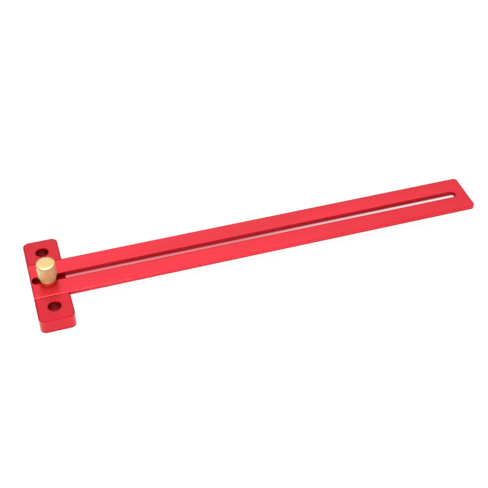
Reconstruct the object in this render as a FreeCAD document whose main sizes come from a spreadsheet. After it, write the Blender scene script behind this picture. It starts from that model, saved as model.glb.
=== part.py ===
import FreeCAD, Part
import math
import os

import Sketcher

# A T-shaped marking gauge for carpentry: a slotted blade slides through a
# groove milled across a short stock and is clamped there by a brass knob on
# a screw that stands up through the slot.
#
# Frame: millimetres, +Z up. The origin lies midway between the two mounting
# holes, on the underside of the stock and on the axis of the clamp screw.
# +X runs along the blade, away from the stock; Y runs along the stock.

SIZES = {
    # stock
    "stock_length": 71.0,          # along Y
    "stock_width": 22.0,           # along X
    "stock_height": 10.5,
    "stock_corner_radius": 3.8,
    "stock_edge_break": 0.35,
    "hole_spacing": 48.5,
    "hole_diameter": 7.5,
    "hole_edge_break": 0.4,
    # blade and its groove
    "blade_length": 300.0,
    "blade_width": 30.0,
    "blade_thickness": 3.0,
    "blade_corner_radius": 2.4,
    "blade_edge_break": 0.2,
    "groove_side_gap": 0.05,
    "groove_overcut": 1.0,         # how far the groove's section stands above the stock
    "slot_width": 5.2,
    "slot_end_land": 8.0,          # from the slot's far end to the blade's tip
    "entry_hole_diameter": 6.0,
    "entry_hole_inset": 4.0,       # from the blade's tail to the hole's centre
    # clamp screw
    "screw_diameter": 5.0,
    "screw_length": 16.0,          # under the head
    "screw_point_break": 0.5,
    "screw_head_flats": 8.0,
    "screw_head_height": 3.5,
    "screw_head_sink": 0.5,        # below the stock's underside
    "screw_hole_diameter": 5.3,
    "head_recess_gap": 0.06,
    # washer and knob
    "washer_diameter": 10.2,
    "washer_bore": 5.3,
    "washer_thickness": 1.0,
    "knob_diameter": 11.8,
    "knob_height": 12.6,           # collar and grip together
    "knob_collar_diameter": 9.6,
    "knob_collar_height": 1.9,
    "knob_top_disc": 8.6,
    "knob_top_bevel": 20.0,        # degrees from the flat top
    "knob_foot_disc": 10.4,
    "knob_foot_bevel": 30.0,       # degrees from the flat underside
    "knob_bore": 5.1,
    "knob_bore_depth": 10.6,
}

SAME_PLACE = 1e-6                  # mm, two positions closer than this are one
SHORTEST_UPRIGHT = 0.1             # mm
SMALLEST_CUT = 0.01                # mm3, a cut that takes away less has missed

doc = FreeCAD.newDocument("marking_gauge")


def make_sheet():
    """Put the driving dimensions in a spreadsheet, one alias to a row."""
    made = doc.addObject("Spreadsheet::Sheet", "sizes")
    for row, (name, value) in enumerate(SIZES.items(), start=1):
        made.set("A%d" % row, name)
        made.set("B%d" % row, "%g" % value)
        made.setAlias("B%d" % row, name)
    return made


sheet = make_sheet()
doc.recompute()


def size(name):
    """A driving dimension, as the spreadsheet holds it."""
    return float(getattr(sheet, name))


def make_body(label):
    body = doc.addObject("PartDesign::Body", label)
    body.Label = label
    return body


def make_sketch(body, name, plane, lift=None):
    """A sketch on one of the body's own origin planes, lifted along its normal."""
    sketch = body.newObject("Sketcher::SketchObject", name)
    datum = [f for f in body.Origin.OriginFeatures if f.Role == plane][0]
    sketch.AttachmentSupport = [(datum, "")]
    sketch.MapMode = "FlatFace"
    if lift:
        sketch.setExpression("AttachmentOffset.Base.z", lift)
    return sketch


def constrain(sketch, kind, *refs, value=None, expression=None):
    """Add a constraint; a dimension starts at value and follows the sheet."""
    args = list(refs)
    if value is not None:
        args.append(value)
    index = sketch.addConstraint(Sketcher.Constraint(kind, *args))
    if expression:
        sketch.setExpression("Constraints[%d]" % index, expression)
    return index


def add_circle(sketch, diameter, x=0.0, y=0.0, x_expr=None, y_expr=None):
    """A circle bound to a diameter of the sheet, centred at x, y."""
    radius = size(diameter) / 2
    centre = FreeCAD.Vector(x, y, 0)
    ring = sketch.addGeometry(Part.Circle(centre, FreeCAD.Vector(0, 0, 1), radius))
    constrain(sketch, "Diameter", ring, value=2 * radius, expression="sizes.%s" % diameter)
    for kind, place, expr in (("DistanceX", x, x_expr), ("DistanceY", y, y_expr)):
        constrain(sketch, kind, -1, 1, ring, 3, value=place, expression=expr)
    return ring


def add_polygon(sketch, points):
    """Closed outline of straight lines through points; returns the line indices."""
    corners = [FreeCAD.Vector(x, y, 0) for x, y in points]
    lines = []
    for start, end in zip(corners, corners[1:] + corners[:1]):
        lines.append(sketch.addGeometry(Part.LineSegment(start, end)))
    for line, following in zip(lines, lines[1:] + lines[:1]):
        sketch.addConstraint(Sketcher.Constraint("Coincident", line, 2, following, 1))
    return lines


def add_rectangle(sketch, x_range, y_range, x_expr, y_expr):
    """Upright rectangle; the expressions place its low and high sides."""
    (x0, x1), (y0, y1) = x_range, y_range
    lines = add_polygon(sketch, [(x0, y0), (x1, y0), (x1, y1), (x0, y1)])
    bottom, right, top, left = lines
    for line in (bottom, top):
        constrain(sketch, "Horizontal", line)
    for line in (right, left):
        constrain(sketch, "Vertical", line)
    constrain(sketch, "DistanceX", -1, 1, bottom, 1, value=x0, expression=x_expr[0])
    constrain(sketch, "DistanceX", -1, 1, bottom, 2, value=x1, expression=x_expr[1])
    constrain(sketch, "DistanceY", -1, 1, bottom, 1, value=y0, expression=y_expr[0])
    constrain(sketch, "DistanceY", -1, 1, top, 1, value=y1, expression=y_expr[1])
    return lines


def add_hexagon(sketch, flats, gap=None):
    """Regular hexagon about the origin with two corners on the X axis.

    flats and gap name the size across its flats and the room added all round.
    """
    across = size(flats)
    across_expr = "sizes.%s" % flats
    if gap:
        across += 2 * size(gap)
        across_expr += " + 2 * sizes.%s" % gap
    radius = across / math.sqrt(3)
    angles = [math.radians(60 * k) for k in range(6)]
    lines = add_polygon(sketch, [(radius * math.cos(a), radius * math.sin(a)) for a in angles])
    guide = sketch.addGeometry(Part.Circle(FreeCAD.Vector(), FreeCAD.Vector(0, 0, 1), radius), True)
    constrain(sketch, "Coincident", guide, 3, -1, 1)
    constrain(sketch, "PointOnObject", lines[0], 1, -1)
    for line in lines:
        constrain(sketch, "PointOnObject", line, 1, guide)
    for line in lines[2:]:
        constrain(sketch, "Equal", lines[1], line)
    constrain(sketch, "Radius", guide, value=radius, expression="(%s) / sqrt(3)" % across_expr)


def add_pad(body, name, sketch, length):
    pad = body.newObject("PartDesign::Pad", name)
    pad.Profile = sketch
    pad.setExpression("Length", length)
    doc.recompute()
    return pad


def add_pocket(body, name, sketch, length=None, reverse=False):
    """Cut the sketch's outline; through everything when no length is given."""
    before = body.Shape.Volume
    pocket = body.newObject("PartDesign::Pocket", name)
    pocket.Profile = sketch
    pocket.Reversed = reverse
    if length:
        pocket.setExpression("Length", length)
    else:
        pocket.Type = "ThroughAll"
        pocket.Midplane = True
    doc.recompute()
    if body.Shape.Volume > before - SMALLEST_CUT:
        raise RuntimeError("%s cuts nothing" % name)
    return pocket


def dress(body, kind, name, base, edges, setting, expression):
    """Fillet or chamfer the chosen edges of the feature called base."""
    feature = body.newObject("PartDesign::" + kind, name)
    feature.Base = (base, edges)
    feature.setExpression(setting, expression)
    doc.recompute()
    return feature


def edges_where(shape, test):
    return ["Edge%d" % n for n, edge in enumerate(shape.Edges, start=1) if test(edge)]


def is_upright(edge):
    """A straight edge along Z."""
    if len(edge.Vertexes) != 2:
        return False
    step = edge.Vertexes[1].Point - edge.Vertexes[0].Point
    return abs(step.x) + abs(step.y) < SAME_PLACE and abs(step.z) > SHORTEST_UPRIGHT


def lies_at(edge, height):
    """An edge that runs level at the height."""
    box = edge.BoundBox
    return abs(box.ZMin - height) < SAME_PLACE and abs(box.ZMax - height) < SAME_PLACE


def make_stock():
    """Short bar with rounded ends, a groove for the blade and its holes."""
    body = make_body("stock")
    outline = make_sketch(body, "stock_outline", "XY_Plane")
    half_x, half_y = size("stock_width") / 2, size("stock_length") / 2
    add_rectangle(
        outline, (-half_x, half_x), (-half_y, half_y),
        ("-sizes.stock_width / 2", "sizes.stock_width / 2"),
        ("-sizes.stock_length / 2", "sizes.stock_length / 2"))
    bar = add_pad(body, "stock_bar", outline, "sizes.stock_height")
    rounded = dress(body, "Fillet", "stock_corners", bar, edges_where(bar.Shape, is_upright),
                    "Radius", "sizes.stock_corner_radius")
    heights = (0.0, size("stock_height"))
    rims = edges_where(rounded.Shape, lambda e: any(lies_at(e, z) for z in heights))
    dress(body, "Chamfer", "stock_rims", rounded, rims, "Size", "sizes.stock_edge_break")

    floor = size("stock_height") - size("blade_thickness")
    groove_half = size("blade_width") / 2 + size("groove_side_gap")
    groove = make_sketch(body, "groove_section", "YZ_Plane")
    groove_top = size("stock_height") + size("groove_overcut")
    add_rectangle(
        groove, (-groove_half, groove_half), (floor, groove_top),
        ("-sizes.blade_width / 2 - sizes.groove_side_gap",
         "sizes.blade_width / 2 + sizes.groove_side_gap"),
        ("sizes.stock_height - sizes.blade_thickness",
         "sizes.stock_height + sizes.groove_overcut"))
    add_pocket(body, "groove", groove)

    holes = make_sketch(body, "mounting_hole_circles", "XY_Plane")
    for side in (-1, 1):
        add_circle(holes, "hole_diameter", y=side * size("hole_spacing") / 2,
                   y_expr="%d * sizes.hole_spacing / 2" % side)
    drilled = add_pocket(body, "mounting_holes", holes)
    radius = size("hole_diameter") / 2
    mouths = edges_where(drilled.Shape, lambda e: any(lies_at(e, z) for z in heights)
                         and e.Curve.TypeId == "Part::GeomCircle"
                         and abs(e.Curve.Radius - radius) < SAME_PLACE)
    dress(body, "Chamfer", "mounting_hole_rims", drilled, mouths, "Size", "sizes.hole_edge_break")

    screw_hole = make_sketch(body, "screw_hole_circle", "XY_Plane")
    add_circle(screw_hole, "screw_hole_diameter")
    add_pocket(body, "screw_hole", screw_hole)
    recess = make_sketch(body, "screw_head_recess_hexagon", "XY_Plane")
    add_hexagon(recess, "screw_head_flats", gap="head_recess_gap")
    add_pocket(body, "screw_head_recess", recess,
               "sizes.screw_head_sink + sizes.screw_head_height", reverse=True)
    return body


def make_blade():
    """Flat bar with one long slot that opens into a round hole at the tail."""
    body = make_body("blade")
    tail = -size("stock_width") / 2
    tip = tail + size("blade_length")
    half = size("blade_width") / 2
    outline = make_sketch(body, "blade_outline", "XY_Plane")
    add_rectangle(
        outline, (tail, tip), (-half, half),
        ("-sizes.stock_width / 2", "sizes.blade_length - sizes.stock_width / 2"),
        ("-sizes.blade_width / 2", "sizes.blade_width / 2"))
    bar = add_pad(body, "blade_bar", outline, "sizes.blade_thickness")
    at_tip = edges_where(bar.Shape, lambda e: is_upright(e) and e.CenterOfMass.x > 0)
    rounded = dress(body, "Fillet", "blade_corners", bar, at_tip,
                    "Radius", "sizes.blade_corner_radius")
    heights = (0.0, size("blade_thickness"))
    rims = edges_where(rounded.Shape, lambda e: any(lies_at(e, z) for z in heights))
    dress(body, "Chamfer", "blade_rims", rounded, rims, "Size", "sizes.blade_edge_break")

    entry = make_sketch(body, "entry_hole_circle", "XY_Plane")
    entry_x = tail + size("entry_hole_inset")
    add_circle(entry, "entry_hole_diameter", x=entry_x,
               x_expr="sizes.entry_hole_inset - sizes.stock_width / 2")
    add_pocket(body, "entry_hole", entry)

    slot = make_sketch(body, "slot_outline", "XY_Plane")
    add_slot(slot, entry_x, tip)
    cut = add_pocket(body, "slot", slot)
    inner = edges_where(cut.Shape, lambda e: any(lies_at(e, z) for z in heights)
                        and abs(e.CenterOfMass.y) < size("slot_width"))
    inner = [name for name in inner
             if cut.Shape.getElement(name).CenterOfMass.x > entry_x - size("entry_hole_inset") / 2
             or cut.Shape.getElement(name).Curve.TypeId == "Part::GeomCircle"]
    dress(body, "Chamfer", "slot_rims", cut, inner, "Size", "sizes.blade_edge_break")
    body.Placement = FreeCAD.Placement(
        FreeCAD.Vector(0, 0, size("stock_height") - size("blade_thickness")), FreeCAD.Rotation())
    body.setExpression("Placement.Base.z", "sizes.stock_height - sizes.blade_thickness")
    return body


def add_slot(sketch, start_x, tip):
    """Slot from the entry hole's centre to a round end near the blade's tip."""
    half = size("slot_width") / 2
    end_x = tip - size("slot_end_land") - half
    vector = FreeCAD.Vector
    lower = sketch.addGeometry(Part.LineSegment(vector(start_x, -half, 0), vector(end_x, -half, 0)))
    arc = sketch.addGeometry(Part.ArcOfCircle(
        Part.Circle(vector(end_x, 0, 0), vector(0, 0, 1), half), -math.pi / 2, math.pi / 2))
    upper = sketch.addGeometry(Part.LineSegment(vector(end_x, half, 0), vector(start_x, half, 0)))
    close = sketch.addGeometry(Part.LineSegment(vector(start_x, half, 0), vector(start_x, -half, 0)))
    constrain(sketch, "Tangent", lower, 2, arc, 1)
    constrain(sketch, "Tangent", arc, 2, upper, 1)
    constrain(sketch, "Coincident", upper, 2, close, 1)
    constrain(sketch, "Coincident", close, 2, lower, 1)
    constrain(sketch, "Horizontal", lower)
    constrain(sketch, "Vertical", close)
    constrain(sketch, "PointOnObject", arc, 3, -1)
    constrain(sketch, "Radius", arc, value=half, expression="sizes.slot_width / 2")
    constrain(sketch, "DistanceX", -1, 1, lower, 1, value=start_x,
              expression="sizes.entry_hole_inset - sizes.stock_width / 2")
    constrain(sketch, "DistanceX", -1, 1, arc, 3, value=end_x,
              expression="sizes.blade_length - sizes.stock_width / 2"
                         " - sizes.slot_end_land - sizes.slot_width / 2")


def make_screw():
    """Hex-head clamp screw: the head sits in the stock, the shank points up."""
    body = make_body("clamp_screw")
    head = make_sketch(body, "screw_head_hexagon", "XY_Plane")
    add_hexagon(head, "screw_head_flats")
    add_pad(body, "screw_head", head, "sizes.screw_head_height")
    shank = make_sketch(body, "screw_shank_circle", "XY_Plane")
    add_circle(shank, "screw_diameter")
    rod = add_pad(body, "screw_shank", shank, "sizes.screw_head_height + sizes.screw_length")
    top = size("screw_head_height") + size("screw_length")
    dress(body, "Chamfer", "screw_point", rod, edges_where(rod.Shape, lambda e: lies_at(e, top)),
          "Size", "sizes.screw_point_break")
    body.Placement = FreeCAD.Placement(
        FreeCAD.Vector(0, 0, size("screw_head_sink")), FreeCAD.Rotation())
    body.setExpression("Placement.Base.z", "sizes.screw_head_sink")
    return body


def make_washer():
    """Flat washer that the knob presses on the blade."""
    body = make_body("washer")
    ring = make_sketch(body, "washer_circles", "XY_Plane")
    add_circle(ring, "washer_diameter")
    add_circle(ring, "washer_bore")
    add_pad(body, "washer_ring", ring, "sizes.washer_thickness")
    body.Placement = FreeCAD.Placement(FreeCAD.Vector(0, 0, size("stock_height")), FreeCAD.Rotation())
    body.setExpression("Placement.Base.z", "sizes.stock_height")
    return body


def bevel_depth(end):
    """Height of the cone on the knob's top or foot, and its expression."""
    run = (size("knob_diameter") - size("knob_%s_disc" % end)) / 2
    depth = run * math.tan(math.radians(size("knob_%s_bevel" % end)))
    run_expr = "(sizes.knob_diameter - sizes.knob_%s_disc) / 2" % end
    return depth, "%s * tan(sizes.knob_%s_bevel * 1 deg)" % (run_expr, end)


def make_knob():
    """Round knob with coned ends, a narrower collar under it and a blind bore."""
    body = make_body("clamp_knob")
    foot, foot_expr = bevel_depth("foot")
    crown, crown_expr = bevel_depth("top")
    collar, total = size("knob_collar_height"), size("knob_height")
    base, collar_top, top = "0 mm", "sizes.knob_collar_height", "sizes.knob_height"
    grip_low = "%s + %s" % (collar_top, foot_expr)
    grip_high = "%s - %s" % (top, crown_expr)
    corners = [
        ("knob_collar_diameter", 0.0, base),
        ("knob_collar_diameter", collar, collar_top),
        ("knob_foot_disc", collar, collar_top),
        ("knob_diameter", collar + foot, grip_low),
        ("knob_diameter", total - crown, grip_high),
        ("knob_top_disc", total, top),
    ]
    section = make_sketch(body, "knob_half_section", "XZ_Plane")
    outline = [(size(name) / 2, z) for name, z, _ in corners]
    lines = add_polygon(section, outline + [(0.0, total), (0.0, 0.0)])
    for line, (name, z, z_expr) in zip(lines, corners):
        constrain(section, "DistanceX", -1, 1, line, 1, value=size(name) / 2,
                  expression="sizes.%s / 2" % name)
        constrain(section, "DistanceY", -1, 1, line, 1, value=z, expression=z_expr)
    constrain(section, "PointOnObject", lines[-2], 1, -2)
    constrain(section, "Horizontal", lines[-3])
    constrain(section, "Coincident", lines[-1], 1, -1, 1)
    turned = body.newObject("PartDesign::Revolution", "knob_turning")
    turned.Profile = section
    turned.ReferenceAxis = (section, ["V_Axis"])
    turned.Angle = 360
    doc.recompute()

    bore = make_sketch(body, "knob_bore_circle", "XY_Plane")
    add_circle(bore, "knob_bore")
    add_pocket(body, "knob_bore_hole", bore, "sizes.knob_bore_depth", reverse=True)
    seat = size("stock_height") + size("washer_thickness")
    body.Placement = FreeCAD.Placement(FreeCAD.Vector(0, 0, seat), FreeCAD.Rotation())
    body.setExpression("Placement.Base.z", "sizes.stock_height + sizes.washer_thickness")
    return body


def check(parts):
    """Stop if any object failed or any part isn't one valid solid."""
    doc.recompute()
    for made in doc.Objects:
        if "Invalid" in made.State or "Error" in made.State:
            raise RuntimeError("%s failed: %s" % (made.Label, made.State))
    for part in parts:
        shape = part.Shape
        if shape.isNull() or not shape.isValid() or len(shape.Solids) != 1:
            raise RuntimeError("%s has no valid solid" % part.Label)
        box = shape.BoundBox
        print("%-12s %9.1f mm3  x %.2f..%.2f  y %.2f..%.2f  z %.2f..%.2f" % (
            part.Label, shape.Volume, box.XMin, box.XMax, box.YMin, box.YMax, box.ZMin, box.ZMax))


parts = [make_stock(), make_blade(), make_screw(), make_washer(), make_knob()]
check(parts)
os.makedirs("parts", exist_ok=True)
for part in parts:
    part.Shape.exportStep("parts/%s.step" % part.Label)
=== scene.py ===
import bmesh
import bpy
import math
from mathutils import Matrix, Vector


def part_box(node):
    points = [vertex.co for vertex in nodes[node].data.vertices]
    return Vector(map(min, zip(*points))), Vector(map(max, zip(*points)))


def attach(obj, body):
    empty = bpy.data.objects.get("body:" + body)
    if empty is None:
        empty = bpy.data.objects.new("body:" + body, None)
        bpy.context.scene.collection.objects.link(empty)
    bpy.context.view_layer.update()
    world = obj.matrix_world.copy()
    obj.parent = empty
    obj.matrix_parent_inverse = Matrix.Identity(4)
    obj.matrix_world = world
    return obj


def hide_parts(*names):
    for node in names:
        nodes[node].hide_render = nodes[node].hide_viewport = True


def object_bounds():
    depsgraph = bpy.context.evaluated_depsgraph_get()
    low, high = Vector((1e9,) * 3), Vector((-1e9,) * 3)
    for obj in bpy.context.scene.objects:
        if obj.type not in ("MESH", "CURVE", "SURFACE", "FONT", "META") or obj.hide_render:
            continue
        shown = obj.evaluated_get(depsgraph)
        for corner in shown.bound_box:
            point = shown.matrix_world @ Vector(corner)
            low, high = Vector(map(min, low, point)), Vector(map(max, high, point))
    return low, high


# Looks of a slotted-blade marking gauge: red anodised stock and blade, a
# zinc-plated clamp screw and a brass washer and knob. Metres, in the CAD frame:
# +X along the blade, Z up, the clamp screw's axis at x = y = 0.

MM = 0.001

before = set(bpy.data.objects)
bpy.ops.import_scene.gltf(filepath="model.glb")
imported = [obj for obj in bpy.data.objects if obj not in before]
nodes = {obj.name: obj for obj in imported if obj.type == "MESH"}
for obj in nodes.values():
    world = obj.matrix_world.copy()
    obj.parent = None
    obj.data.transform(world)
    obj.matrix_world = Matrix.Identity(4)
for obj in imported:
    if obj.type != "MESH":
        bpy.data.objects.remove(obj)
cad_low, cad_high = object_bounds()

# Camera, worked out from the object's edges and holes
CAMERA_AT = Vector((-14.8, -433.8, 444.1)) * MM
CAMERA_YAW = 18.27        # degrees from +Y towards +X
CAMERA_PITCH = 43.89      # degrees below the horizon
CAMERA_ROLL = 1.03        # degrees, clockwise
LENS = 71.0               # on a 36 mm sensor

# Studio: the dome's share of its strength at each sine of elevation
DOME = ((0.0, 0.28), (0.10, 0.34), (0.36, 0.62), (0.62, 0.86), (1.0, 1.0))
DOME_STRENGTH = 1.36
BACKDROP_GLOW = 0.95
FLOOR_ALBEDO = 0.90
BACKDROP_ALBEDO = 0.06
FLOOR_DROP = 0.10 * MM    # below the stock
BACKDROP_DROP = 0.05 * MM
BOARD_REACH = 40.0        # from the middle to the boards' edges

# Lamps: name, place, target, size and watts
LAMPS = (("front_fill", (-0.45, -1.2, 0.40), (0.0, 0.0, 0.02), 1.4, 9.0),
         ("overhead", (-0.02, 0.05, 0.9), (0.0, 0.0, 0.0), 0.3, 2.5))

# The red light under the blade, on the backdrop. Each pair is where it starts and
# where it is full; the shade is its deeper part, next to the slot's far wall.
UNDER_GLOW = (0.86, 0.235, 0.26)
UNDER_SHADE = (0.36, 0.03, 0.04)
GLOW_NEAR = (-6.0 * MM, 3.0 * MM)
GLOW_FAR = (25.0 * MM, 10.0 * MM)
GLOW_TAIL = (-8.0 * MM, 4.0 * MM)
GLOW_TIP = (296.0 * MM, 288.0 * MM)
GLOW_FADING = (300.0 * MM, 125.0 * MM)
SHADE_START = (8.9 * MM, 10.2 * MM)
COVER_REACH = 25.0 * MM   # how far up from the board a cover is looked for
COVERED = (0.95, 0.45)    # open sky over the board, beyond the blade and well under it

# Colours
# The stock's reds are a darker copy of the blade's: painted shade standing in for the duller
# reflection of its grain, which runs at right angles to the blade's.
STOCK_DEEP = (0.515, 0.003, 0.014)
STOCK_LIGHT = (0.69, 0.007, 0.027)
BLADE_DEEP = (0.62, 0.004, 0.017)
BLADE_LIGHT = (0.87, 0.0115, 0.034)
# The knob's ends are painted lighter than its side, as lit and shaded copies of one brass.
KNOB_LIT_END = (0.84, 0.59, 0.255)
KNOB_SHADED_SIDE = (0.66, 0.54, 0.255)
# the painted shadow line under the knob's top bevel
BEVEL_SHADOW_LINE = (0.11, 0.07, 0.02)
WASHER_BRASS = (0.74, 0.55, 0.27)
ZINC_DULL = (0.50, 0.52, 0.55)
ZINC_BRIGHT = (0.72, 0.72, 0.70)

# Surface texture: noise scales, per metre, how far edges look softened, and the painted edge shade
GRAIN = (2300.0, 45.0)    # across and along the bar
DRIFT = (60.0, 9.0)
BLAST = 5200.0
# unevenness of the painted shade along the edges
EDGE_SHADE_NOISE = 700.0
BRASS_LINES = (5200.0, 5200.0, 140.0)
BRASS_RINGS = (620.0, 620.0, 0.0)
BRASS_CLOUDS = (260.0, 260.0, 180.0)
ZINC_CLOUDS = (420.0, 420.0, 420.0)
ZINC_LINES = (6000.0, 6000.0, 1500.0)
BOARD_FLECKS = (40.0, 40.0, 40.0)
RED_EDGE = 0.14 * MM
EDGE_SHADE_REACH = 1.8 * MM      # the painted shade beside the red parts' outer edges
BRASS_EDGE = 0.22 * MM

# Places on the object that the paints refer to
blade_low, blade_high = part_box("blade")
stock_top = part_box("stock")[1].z
HOLE_AT = 24.25 * MM      # the stock's two holes, from its middle
HOLE_REACH = 4.3 * MM     # past their broken edges
SLOT_REACH = 3.0 * MM     # half of the entry hole, the slot's widest part
TAIL_LAND = 0.5 * MM      # the blade's tail end to just short of the entry hole
TIP_LAND = 3.0 * MM
BEVEL_DROP = 0.58 * MM    # from the knob's flat top to the outer rim of its bevel
SHADOW_LINE_FOOT = (-0.55 * MM, -0.35 * MM)    # heights from that rim: the painted shadow line starts, and is full
SHADOW_LINE_HEAD = (0.12 * MM, 0.02 * MM)      # the same at its upper side
BLUR = 0.2 * MM
FAR_SHADE_SPAN = (130.0 * MM, 290.0 * MM)    # where the painted shade on the blade starts, and where it is deepest


# ---------------------------------------------------------------- materials

def new_material(name):
    """A node material; returns it with its node tree and shader."""
    material = bpy.data.materials.new(name)
    material.use_nodes = True
    tree = material.node_tree
    return material, tree, tree.nodes["Principled BSDF"]


def coordinates(tree, scale):
    """Object coordinates, stretched by scale (per metre) along X, Y and Z."""
    source = tree.nodes.new("ShaderNodeTexCoord")
    mapping = tree.nodes.new("ShaderNodeMapping")
    mapping.inputs["Scale"].default_value = scale
    tree.links.new(source.outputs["Object"], mapping.inputs["Vector"])
    return mapping.outputs["Vector"]


def noise(tree, scale, detail=2.0, roughness=0.5):
    """Noise over stretched object coordinates."""
    node = tree.nodes.new("ShaderNodeTexNoise")
    node.inputs["Scale"].default_value = 1.0
    node.inputs["Detail"].default_value = detail
    node.inputs["Roughness"].default_value = roughness
    tree.links.new(coordinates(tree, scale), node.inputs["Vector"])
    return node.outputs["Fac"]


def spread(tree, value, low, high):
    """Map a 0.3 to 0.7 noise value to low..high."""
    node = tree.nodes.new("ShaderNodeMapRange")
    node.inputs["From Min"].default_value = 0.3
    node.inputs["From Max"].default_value = 0.7
    node.inputs["To Min"].default_value = low
    node.inputs["To Max"].default_value = high
    tree.links.new(value, node.inputs["Value"])
    return node.outputs["Result"]


def between(tree, factor, first, second):
    """The number first where factor is 0, and second where it is 1."""
    node = tree.nodes.new("ShaderNodeMapRange")
    node.inputs["To Min"].default_value = first
    node.inputs["To Max"].default_value = second
    tree.links.new(factor, node.inputs["Value"])
    return node.outputs["Result"]


def darker(colour, share):
    """The colour with a share of its brightness."""
    return tuple(share * channel for channel in colour)


def mix_colour(tree, factor, first, second):
    """The colour first where factor is 0, and second where it is 1."""
    node = tree.nodes.new("ShaderNodeMix")
    node.data_type = "RGBA"
    for socket, value in ((node.inputs[6], first), (node.inputs[7], second)):
        if isinstance(value, tuple):
            socket.default_value = (*value, 1.0)
        else:
            tree.links.new(value, socket)
    tree.links.new(factor, node.inputs[0])
    return node.outputs[2]


def add(tree, first, second, weight):
    """first + weight * second"""
    node = tree.nodes.new("ShaderNodeMath")
    node.operation = "MULTIPLY_ADD"
    tree.links.new(second, node.inputs[0])
    node.inputs[1].default_value = weight
    tree.links.new(first, node.inputs[2])
    return node.outputs[0]


def ramp_between(tree, value, first, last):
    """0 to 1 as value goes from first to last."""
    node = tree.nodes.new("ShaderNodeMapRange")
    node.inputs["From Min"].default_value = first
    node.inputs["From Max"].default_value = last
    tree.links.new(value, node.inputs["Value"])
    return node.outputs["Result"]


def product(tree, factors):
    """All the factors multiplied together."""
    result = factors[0]
    for factor in factors[1:]:
        node = tree.nodes.new("ShaderNodeMath")
        node.operation = "MULTIPLY"
        tree.links.new(result, node.inputs[0])
        tree.links.new(factor, node.inputs[1])
        result = node.outputs[0]
    return result


def bump(tree, height, distance, strength, normal=None):
    """Normals of a surface with this height, over other normals if there are any."""
    node = tree.nodes.new("ShaderNodeBump")
    node.inputs["Strength"].default_value = strength
    node.inputs["Distance"].default_value = distance
    tree.links.new(height, node.inputs["Height"])
    if normal:
        tree.links.new(normal, node.inputs["Normal"])
    return node.outputs["Normal"]


def rounded_normal(tree, radius):
    """Normals that turn softly round sharp edges."""
    node = tree.nodes.new("ShaderNodeBevel")
    node.samples = 6
    node.inputs["Radius"].default_value = radius
    return node.outputs["Normal"]


def edge_mask(tree, soft_normal, low, high):
    """1 on the object's edges, 0 on its flats, from how far normals turn."""
    geometry = tree.nodes.new("ShaderNodeNewGeometry")
    dot = tree.nodes.new("ShaderNodeVectorMath")
    dot.operation = "DOT_PRODUCT"
    tree.links.new(soft_normal, dot.inputs[0])
    tree.links.new(geometry.outputs["Normal"], dot.inputs[1])
    ramp = tree.nodes.new("ShaderNodeMapRange")
    ramp.inputs["From Min"].default_value = high
    ramp.inputs["From Max"].default_value = low
    tree.links.new(dot.outputs["Value"], ramp.inputs["Value"])
    return ramp.outputs["Result"]


def split_axes(tree, vector):
    """The X, Y and Z outputs of a vector."""
    split = tree.nodes.new("ShaderNodeSeparateXYZ")
    tree.links.new(vector, split.inputs[0])
    return split.outputs


def place(tree):
    """Object coordinates, in metres in the CAD frame, as X, Y and Z."""
    return split_axes(tree, tree.nodes.new("ShaderNodeTexCoord").outputs["Object"])


def facing(tree):
    """The surface's own direction as X, Y and Z."""
    return split_axes(tree, tree.nodes.new("ShaderNodeNewGeometry").outputs["Normal"])


def distance(tree, value, centre):
    """How far the value is from centre, either way."""
    offset = tree.nodes.new("ShaderNodeMath")
    offset.operation = "SUBTRACT"
    tree.links.new(value, offset.inputs[0])
    offset.inputs[1].default_value = centre
    size = tree.nodes.new("ShaderNodeMath")
    size.operation = "ABSOLUTE"
    tree.links.new(offset.outputs[0], size.inputs[0])
    return size.outputs[0]


def within(tree, value, low, high):
    """1 where the value lies from low to high, and 0 just outside."""
    return product(tree, [ramp_between(tree, value, low - BLUR, low),
                          ramp_between(tree, value, high + BLUR, high)])


def upright(tree):
    """1 on surfaces that stand upright."""
    return ramp_between(tree, distance(tree, facing(tree)["Z"], 0.0), 0.4, 0.2)


def turned_away(tree, soft_normal):
    """1 on every edge but those that face both up and to the front."""
    soft = split_axes(tree, soft_normal)
    front_up = product(tree, [ramp_between(tree, soft["Y"], -0.05, -0.3),
                              ramp_between(tree, soft["Z"], 0.05, 0.3)])
    return between(tree, front_up, 1.0, 0.0)


def slanted(tree):
    """1 on the broken upper edges, whose faces lean at 45 degrees."""
    level = facing(tree)["Z"]
    return product(tree, [ramp_between(tree, level, 0.3, 0.5),
                          ramp_between(tree, level, 0.95, 0.85)])


def stock_recess_shade(tree):
    """Painted shade: 1 on the groove's floor, well below the stock's top; 0.4 in the two end holes.
    """
    at = place(tree)
    floor = product(tree, [ramp_between(tree, at["Z"], stock_top - MM, stock_top - 2 * MM),
                           ramp_between(tree, facing(tree)["Z"], 0.6, 0.9)])
    from_middle = distance(tree, at["Y"], 0.0)
    bores = product(tree, [within(tree, at["X"], -HOLE_REACH, HOLE_REACH),
                           within(tree, from_middle, HOLE_AT - HOLE_REACH, HOLE_AT + HOLE_REACH),
                           upright(tree)])
    return add(tree, floor, bores, 0.4)


def blade_recess_shade(tree):
    """Painted shade: 0.2 in the blade's slot and entry hole, and more towards every lower edge."""
    at = place(tree)
    walls = product(tree, [within(tree, at["Y"], -SLOT_REACH, SLOT_REACH),
                           within(tree, at["X"], blade_low.x + TAIL_LAND, blade_high.x - TIP_LAND),
                           upright(tree)])
    low = product(tree, [ramp_between(tree, at["Z"], blade_high.z - 0.5 * MM, blade_low.z),
                         upright(tree)])
    return add(tree, between(tree, walls, 0.0, 0.2), low, 0.5)


def far_end_shade(tree, share):
    """Painted shade: 0 up to the middle of the blade's length, rising to share at its tip."""
    return between(tree, ramp_between(tree, place(tree)["X"], *FAR_SHADE_SPAN), 0.0, share)


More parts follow.
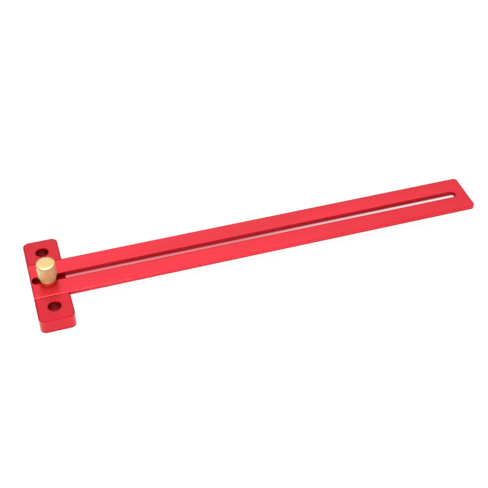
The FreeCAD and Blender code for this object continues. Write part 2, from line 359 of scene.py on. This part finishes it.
def grained(axis, across_and_along):
    """A noise scale that is different along one axis."""
    across, along = across_and_along
    scale = [across] * 3
    scale[axis] = along
    return scale


def painted_edge_shade(tree):
    """Painted shade mask: 1, slightly uneven, beside the outer edges that are turned away."""
    rim = rounded_normal(tree, EDGE_SHADE_REACH)
    uneven = spread(tree, noise(tree, (EDGE_SHADE_NOISE,) * 3, 3.0, 0.6), 0.8, 1.0)
    return product(tree, [edge_mask(tree, rim, 0.93, 0.99), turned_away(tree, rim), uneven])


def anodised(name, axis, deep, light, coat, bevel_shade, recess_shade_of):
    """Dyed, bead-blasted aluminium with a faint grain along one axis.

    Painted shade darkens the broken edges to bevel_shade times the deep colour, and also the surfaces
    of a slot or groove that the mask function passed in marks, the outer edges turned away, and the
    blade's far end.
    """
    material, tree, shader = new_material(name)
    grain = noise(tree, grained(axis, GRAIN), 3.0, 0.6)
    drift = noise(tree, grained(axis, DRIFT), 2.0, 0.5)
    blast = noise(tree, (BLAST,) * 3, 2.0, 0.7)
    far_shade = far_end_shade(tree, 0.25)
    recess_shade = recess_shade_of(tree)
    broken = slanted(tree)
    edges = painted_edge_shade(tree)

    tone = ramp_between(tree, add(tree, drift, grain, 0.8), 0.55, 1.25)
    colour = mix_colour(tree, tone, deep, light)
    # Painted shade: the blade's far end, the slot and groove surfaces, the broken edges and the edges
    # turned away are darkened.
    for mask, share in ((far_shade, 0.72), (recess_shade, 0.5), (broken, bevel_shade), (edges, 0.42)):
        colour = mix_colour(tree, mask, colour, darker(deep, share))
    tree.links.new(colour, shader.inputs["Base Color"])
    shader.inputs["Metallic"].default_value = 1.0

    uncoated = add(tree, add(tree, add(tree, edges, recess_shade, 1.0), broken, 1.0), far_shade, 1.4)
    tree.links.new(between(tree, uncoated, coat, 0.0), shader.inputs["Coat Weight"])
    shader.inputs["Coat IOR"].default_value = 1.5
    shader.inputs["Coat Roughness"].default_value = 0.24

    tree.links.new(spread(tree, blast, 0.30, 0.42), shader.inputs["Roughness"])
    relief = bump(tree, add(tree, blast, grain, 0.7), 0.02 * MM, 0.35, rounded_normal(tree, RED_EDGE))
    tree.links.new(relief, shader.inputs["Normal"])
    return material


def turning_rings(tree):
    """The fine rings that a lathe tool leaves on a face."""
    rings = tree.nodes.new("ShaderNodeTexWave")
    rings.wave_type = "RINGS"
    rings.rings_direction = "Z"
    rings.inputs["Scale"].default_value = 1.0
    rings.inputs["Distortion"].default_value = 0.6
    tree.links.new(coordinates(tree, BRASS_RINGS), rings.inputs["Vector"])
    return rings.outputs["Fac"]


def brass(name, end_colour, side_colour, roughness, metallic):
    """Turned brass bar: rings on the ends, fine upright lines round the sides.

    Returns the material, its tree, its shader and its colour's socket.
    """
    material, tree, shader = new_material(name)
    level = distance(tree, facing(tree)["Z"], 0.0)
    end_face = ramp_between(tree, level, 0.5, 0.9)
    flat_end = ramp_between(tree, level, 0.95, 0.995)
    lines = noise(tree, BRASS_LINES, 3.0, 0.6)
    clouds = noise(tree, BRASS_CLOUDS, 3.0, 0.6)

    # The knob's ends take a lighter colour than its sides: painted light from above. The washer's are
    # alike.
    clear = mix_colour(tree, end_face, side_colour, end_colour)
    tarnished = mix_colour(tree, end_face, darker(side_colour, 0.82), darker(end_colour, 0.84))
    colour = mix_colour(tree, spread(tree, clouds, 0.0, 1.0), tarnished, clear)
    tree.links.new(colour, shader.inputs["Base Color"])
    tree.links.new(between(tree, end_face, metallic, 1.0), shader.inputs["Metallic"])
    shader.inputs["Coat Weight"].default_value = 0.55
    shader.inputs["Coat Roughness"].default_value = 0.30

    rough = add(tree, spread(tree, lines, roughness, roughness + 0.10), flat_end, -0.14)
    tree.links.new(rough, shader.inputs["Roughness"])
    height = tree.nodes.new("ShaderNodeMix")
    tree.links.new(level, height.inputs[0])
    tree.links.new(lines, height.inputs[2])
    tree.links.new(turning_rings(tree), height.inputs[3])
    relief = bump(tree, height.outputs[0], 0.015 * MM, 0.4, rounded_normal(tree, BRASS_EDGE))
    tree.links.new(relief, shader.inputs["Normal"])
    return material, tree, shader, colour


def knob_paint(name):
    """The knob's brass, with a painted shadow line where its side meets the top bevel."""
    material, tree, shader, base = brass(name, KNOB_LIT_END, KNOB_SHADED_SIDE, 0.44, 0.50)
    height = place(tree)["Z"]
    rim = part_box("clamp_knob")[1].z - BEVEL_DROP
    # Painted shadow: a dark band just under the bevel's rim.
    line = product(tree, [ramp_between(tree, height, *(rim + end for end in ends))
                          for ends in (SHADOW_LINE_FOOT, SHADOW_LINE_HEAD)])
    tree.links.new(mix_colour(tree, line, base, BEVEL_SHADOW_LINE), shader.inputs["Base Color"])
    return material


def zinc(name):
    """Bright zinc plating with a faint cloudy tarnish."""
    material, tree, shader = new_material(name)
    shader.inputs["Metallic"].default_value = 1.0
    cloud = noise(tree, ZINC_CLOUDS, 4.0, 0.6)
    fine = noise(tree, ZINC_LINES, 2.0, 0.6)
    tone = spread(tree, cloud, 0.0, 1.0)
    tree.links.new(mix_colour(tree, tone, ZINC_DULL, ZINC_BRIGHT), shader.inputs["Base Color"])
    tree.links.new(spread(tree, cloud, 0.24, 0.38), shader.inputs["Roughness"])
    tree.links.new(bump(tree, fine, 0.01 * MM, 0.3), shader.inputs["Normal"])
    return material


def board_paint(name, albedo):
    """Matt white studio board; returns the material, its tree and its shader."""
    material, tree, shader = new_material(name)
    tone = spread(tree, noise(tree, BOARD_FLECKS, 2.0, 0.5), 0.0, 1.0)
    colour = mix_colour(tree, tone, (0.97 * albedo,) * 3, (albedo,) * 3)
    tree.links.new(colour, shader.inputs["Base Color"])
    shader.inputs["Roughness"].default_value = 0.9
    shader.inputs["Specular IOR Level"].default_value = 0.0
    return material, tree, shader


def backdrop_paint(name):
    """Glowing white board, with the red light that the blade throws under itself.

    The red patch is seen through the slot only. It weakens towards the blade's
    tip, and is there only while the blade covers the board.
    """
    material, tree, shader = board_paint(name, BACKDROP_ALBEDO)
    along = place(tree)["X"]
    across = place(tree)["Y"]
    cover = tree.nodes.new("ShaderNodeAmbientOcclusion")
    cover.samples = 16
    cover.inputs["Distance"].default_value = COVER_REACH
    limits = ((across, GLOW_NEAR), (across, GLOW_FAR), (along, GLOW_TAIL), (along, GLOW_TIP),
              (cover.outputs["AO"], COVERED))
    patch = product(tree, [ramp_between(tree, value, *limit) for value, limit in limits])
    fading = ramp_between(tree, along, *GLOW_FADING)
    deep = ramp_between(tree, across, *SHADE_START)
    glow = mix_colour(tree, product(tree, [patch, fading]), (1.0, 1.0, 1.0), UNDER_GLOW)
    glow = mix_colour(tree, product(tree, [patch, deep]), glow, UNDER_SHADE)
    tree.links.new(glow, shader.inputs["Emission Color"])
    shader.inputs["Emission Strength"].default_value = BACKDROP_GLOW
    return material


# ---------------------------------------------------------------- mesh pieces

def object_from(mesh_maker, name, material):
    """Link a mesh made by mesh_maker(bmesh) and give it a material."""
    mesh = bpy.data.meshes.new(name)
    work = bmesh.new()
    mesh_maker(work)
    bmesh.ops.remove_doubles(work, verts=work.verts, dist=1e-6)
    bmesh.ops.recalc_face_normals(work, faces=work.faces)
    work.to_mesh(mesh)
    work.free()
    made = bpy.data.objects.new(name, mesh)
    bpy.context.scene.collection.objects.link(made)
    mesh.materials.append(material)
    return made


def lathe(work, rings, steps):
    """Skin over level rings about Z; the first and last are closed with a face.

    Each ring is a function of angle that gives a radius and a height.
    """
    grid = []
    for ring in rings:
        row = []
        for k in range(steps):
            angle = 2 * math.pi * k / steps
            radius, height = ring(angle)
            row.append(work.verts.new((radius * math.cos(angle), radius * math.sin(angle), height)))
        grid.append(row)
    for low, high in zip(grid, grid[1:]):
        for k in range(steps):
            following = (k + 1) % steps
            work.faces.new((low[k], low[following], high[following], high[k]))
    work.faces.new(list(reversed(grid[0])))
    work.faces.new(grid[-1])


def hex_radius(angle, flats):
    """Radius of a hexagon, measured across its flats, at an angle."""
    sector = angle % (math.pi / 3) - math.pi / 6
    return flats / 2 / math.cos(sector)


THREAD_CREST = 2.44 * MM
THREAD_ROOT = 2.02 * MM
THREAD_PITCH = 0.8 * MM
RIDGE_PEAK = 1.25         # above 1, so that the thread's crest is flat
RIDGE_SLOPE = 3.0         # the ridge's fall on each side of its peak, a whole pitch away
ROWS_PER_PITCH = 10
STEPS_ROUND = 48
HEAD_FLATS = 8.0 * MM
HEAD_HEIGHT = 3.5 * MM
HEAD_DISC = 0.94          # the flat disc under the head, as a share of the flats
HEAD_CHAMFER = math.tan(math.radians(30))
POINT_TAPER = 0.6 * MM
POINT_SLOPE = 0.8


def head_rings(low, seat):
    """The hexagonal head: a flat disc, its chamfer, the flats and the underside."""
    rim = HEAD_DISC * HEAD_FLATS / 2

    def disc(angle):
        return rim, low

    def lower(angle):
        radius = hex_radius(angle, HEAD_FLATS)
        return radius, low + (radius - rim) * HEAD_CHAMFER

    def upper(angle):
        return hex_radius(angle, HEAD_FLATS), seat

    def neck(angle):
        return THREAD_ROOT, seat
    return [disc, lower, upper, neck]


def thread_ring(height, seat, top):
    """One level ring round the thread; its radius rises and falls once a turn."""
    def ring(angle):
        phase = ((height - seat) / THREAD_PITCH - angle / (2 * math.pi)) % 1.0
        ridge = min(1.0, max(0.0, RIDGE_PEAK - abs(phase - 0.5) * RIDGE_SLOPE))
        runout = min(1.0, (height - seat) / THREAD_PITCH)
        radius = THREAD_ROOT + ridge * runout * (THREAD_CREST - THREAD_ROOT)
        limit = THREAD_CREST - max(0.0, POINT_TAPER - (top - height)) * POINT_SLOPE
        return min(radius, limit), height
    return ring


def make_screw(name, material):
    """Hex-head screw with a real helical thread, standing on its head."""
    low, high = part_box("clamp_screw")
    seat = low.z + HEAD_HEIGHT
    rows = round((high.z - seat) / THREAD_PITCH * ROWS_PER_PITCH)
    heights = [seat + (high.z - seat) * row / rows for row in range(1, rows + 1)]

    def maker(work):
        threads = [thread_ring(height, seat, high.z) for height in heights]
        lathe(work, head_rings(low.z, seat) + threads, STEPS_ROUND)

    return object_from(maker, name, material)


# ---------------------------------------------------------------- build

red_stock = anodised("red_anodised_stock", 1, STOCK_DEEP, STOCK_LIGHT, 0.55, 0.90, stock_recess_shade)
red_blade = anodised("red_anodised_blade", 0, BLADE_DEEP, BLADE_LIGHT, 0.75, 0.55, blade_recess_shade)
knob_brass = knob_paint("brass_knob")
washer_brass = brass("brass_washer", WASHER_BRASS, WASHER_BRASS, 0.34, 0.7)[0]
steel = zinc("zinc_steel")

for node, material in (("stock", red_stock), ("blade", red_blade),
                       ("washer", washer_brass), ("clamp_knob", knob_brass)):
    nodes[node].data.materials.clear()
    nodes[node].data.materials.append(material)

screw = make_screw("threaded_clamp_screw", steel)
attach(screw, "stock")
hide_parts("clamp_screw")


# ---------------------------------------------------------------- stage

def make_board(name, drop, paint):
    """Large plain board, a little drop under the stock."""
    def maker(work):
        reach = BOARD_REACH
        corners = [(-reach, -reach), (reach, -reach), (reach, reach), (-reach, reach)]
        work.faces.new([work.verts.new((x, y, 0.0)) for x, y in corners])
    board = object_from(maker, name, paint)
    board.location.z = cad_low.z - drop
    return board


def make_floor():
    """The board that lights the object, and the paler one that the camera sees."""
    lit = make_board("floor", FLOOR_DROP, board_paint("board_paint", FLOOR_ALBEDO)[0])
    lit.visible_camera = False
    seen = make_board("backdrop", BACKDROP_DROP, backdrop_paint("backdrop_paint"))
    seen.visible_diffuse = False
    seen.visible_glossy = False
    seen.visible_transmission = False
    seen.visible_shadow = False


def make_light(name, at, target, size, power):
    """A square lamp of this size in metres and power in watts, aimed at target."""
    data = bpy.data.lights.new(name, "AREA")
    data.shape = "SQUARE"
    data.size = size
    data.energy = power
    light = bpy.data.objects.new(name, data)
    bpy.context.scene.collection.objects.link(light)
    light.location = at
    light.rotation_euler = (Vector(target) - Vector(at)).to_track_quat("-Z", "Y").to_euler()


def make_world():
    """A dome that is brightest overhead and dim round the horizon."""
    world = bpy.data.worlds.new("studio")
    world.use_nodes = True
    tree = world.node_tree
    source = tree.nodes.new("ShaderNodeTexCoord")
    split = tree.nodes.new("ShaderNodeSeparateXYZ")
    ramp = tree.nodes.new("ShaderNodeValToRGB")
    tree.links.new(source.outputs["Generated"], split.inputs[0])
    tree.links.new(split.outputs["Z"], ramp.inputs["Fac"])
    ramp.color_ramp.elements.remove(ramp.color_ramp.elements[1])
    for n, (height, level) in enumerate(DOME):
        stop = ramp.color_ramp.elements[0] if n == 0 else ramp.color_ramp.elements.new(height)
        stop.position = height
        stop.color = (level, level, level, 1.0)
    background = tree.nodes["Background"]
    tree.links.new(ramp.outputs["Color"], background.inputs["Color"])
    background.inputs["Strength"].default_value = DOME_STRENGTH
    bpy.context.scene.world = world


def make_camera():
    """The camera, turned by its yaw, pitch and roll."""
    data = bpy.data.cameras.new("camera")
    data.sensor_width = 36.0
    data.lens = LENS
    data.clip_start = 0.01
    camera = bpy.data.objects.new("camera", data)
    bpy.context.scene.collection.objects.link(camera)
    yaw, pitch, roll = (math.radians(a) for a in (CAMERA_YAW, CAMERA_PITCH, CAMERA_ROLL))
    ahead = Vector((math.sin(yaw) * math.cos(pitch), math.cos(yaw) * math.cos(pitch),
                    -math.sin(pitch)))
    level = Vector((math.cos(yaw), -math.sin(yaw), 0.0))
    upright = level.cross(ahead)
    right = math.cos(roll) * level + math.sin(roll) * upright
    up = -math.sin(roll) * level + math.cos(roll) * upright
    turned = Matrix((right, up, -ahead)).transposed().to_4x4()
    camera.matrix_world = Matrix.Translation(CAMERA_AT) @ turned
    bpy.context.scene.camera = camera


make_floor()
make_world()
for lamp in LAMPS:
    make_light(*lamp)
make_camera()
bpy.context.scene.view_settings.view_transform = "Standard"
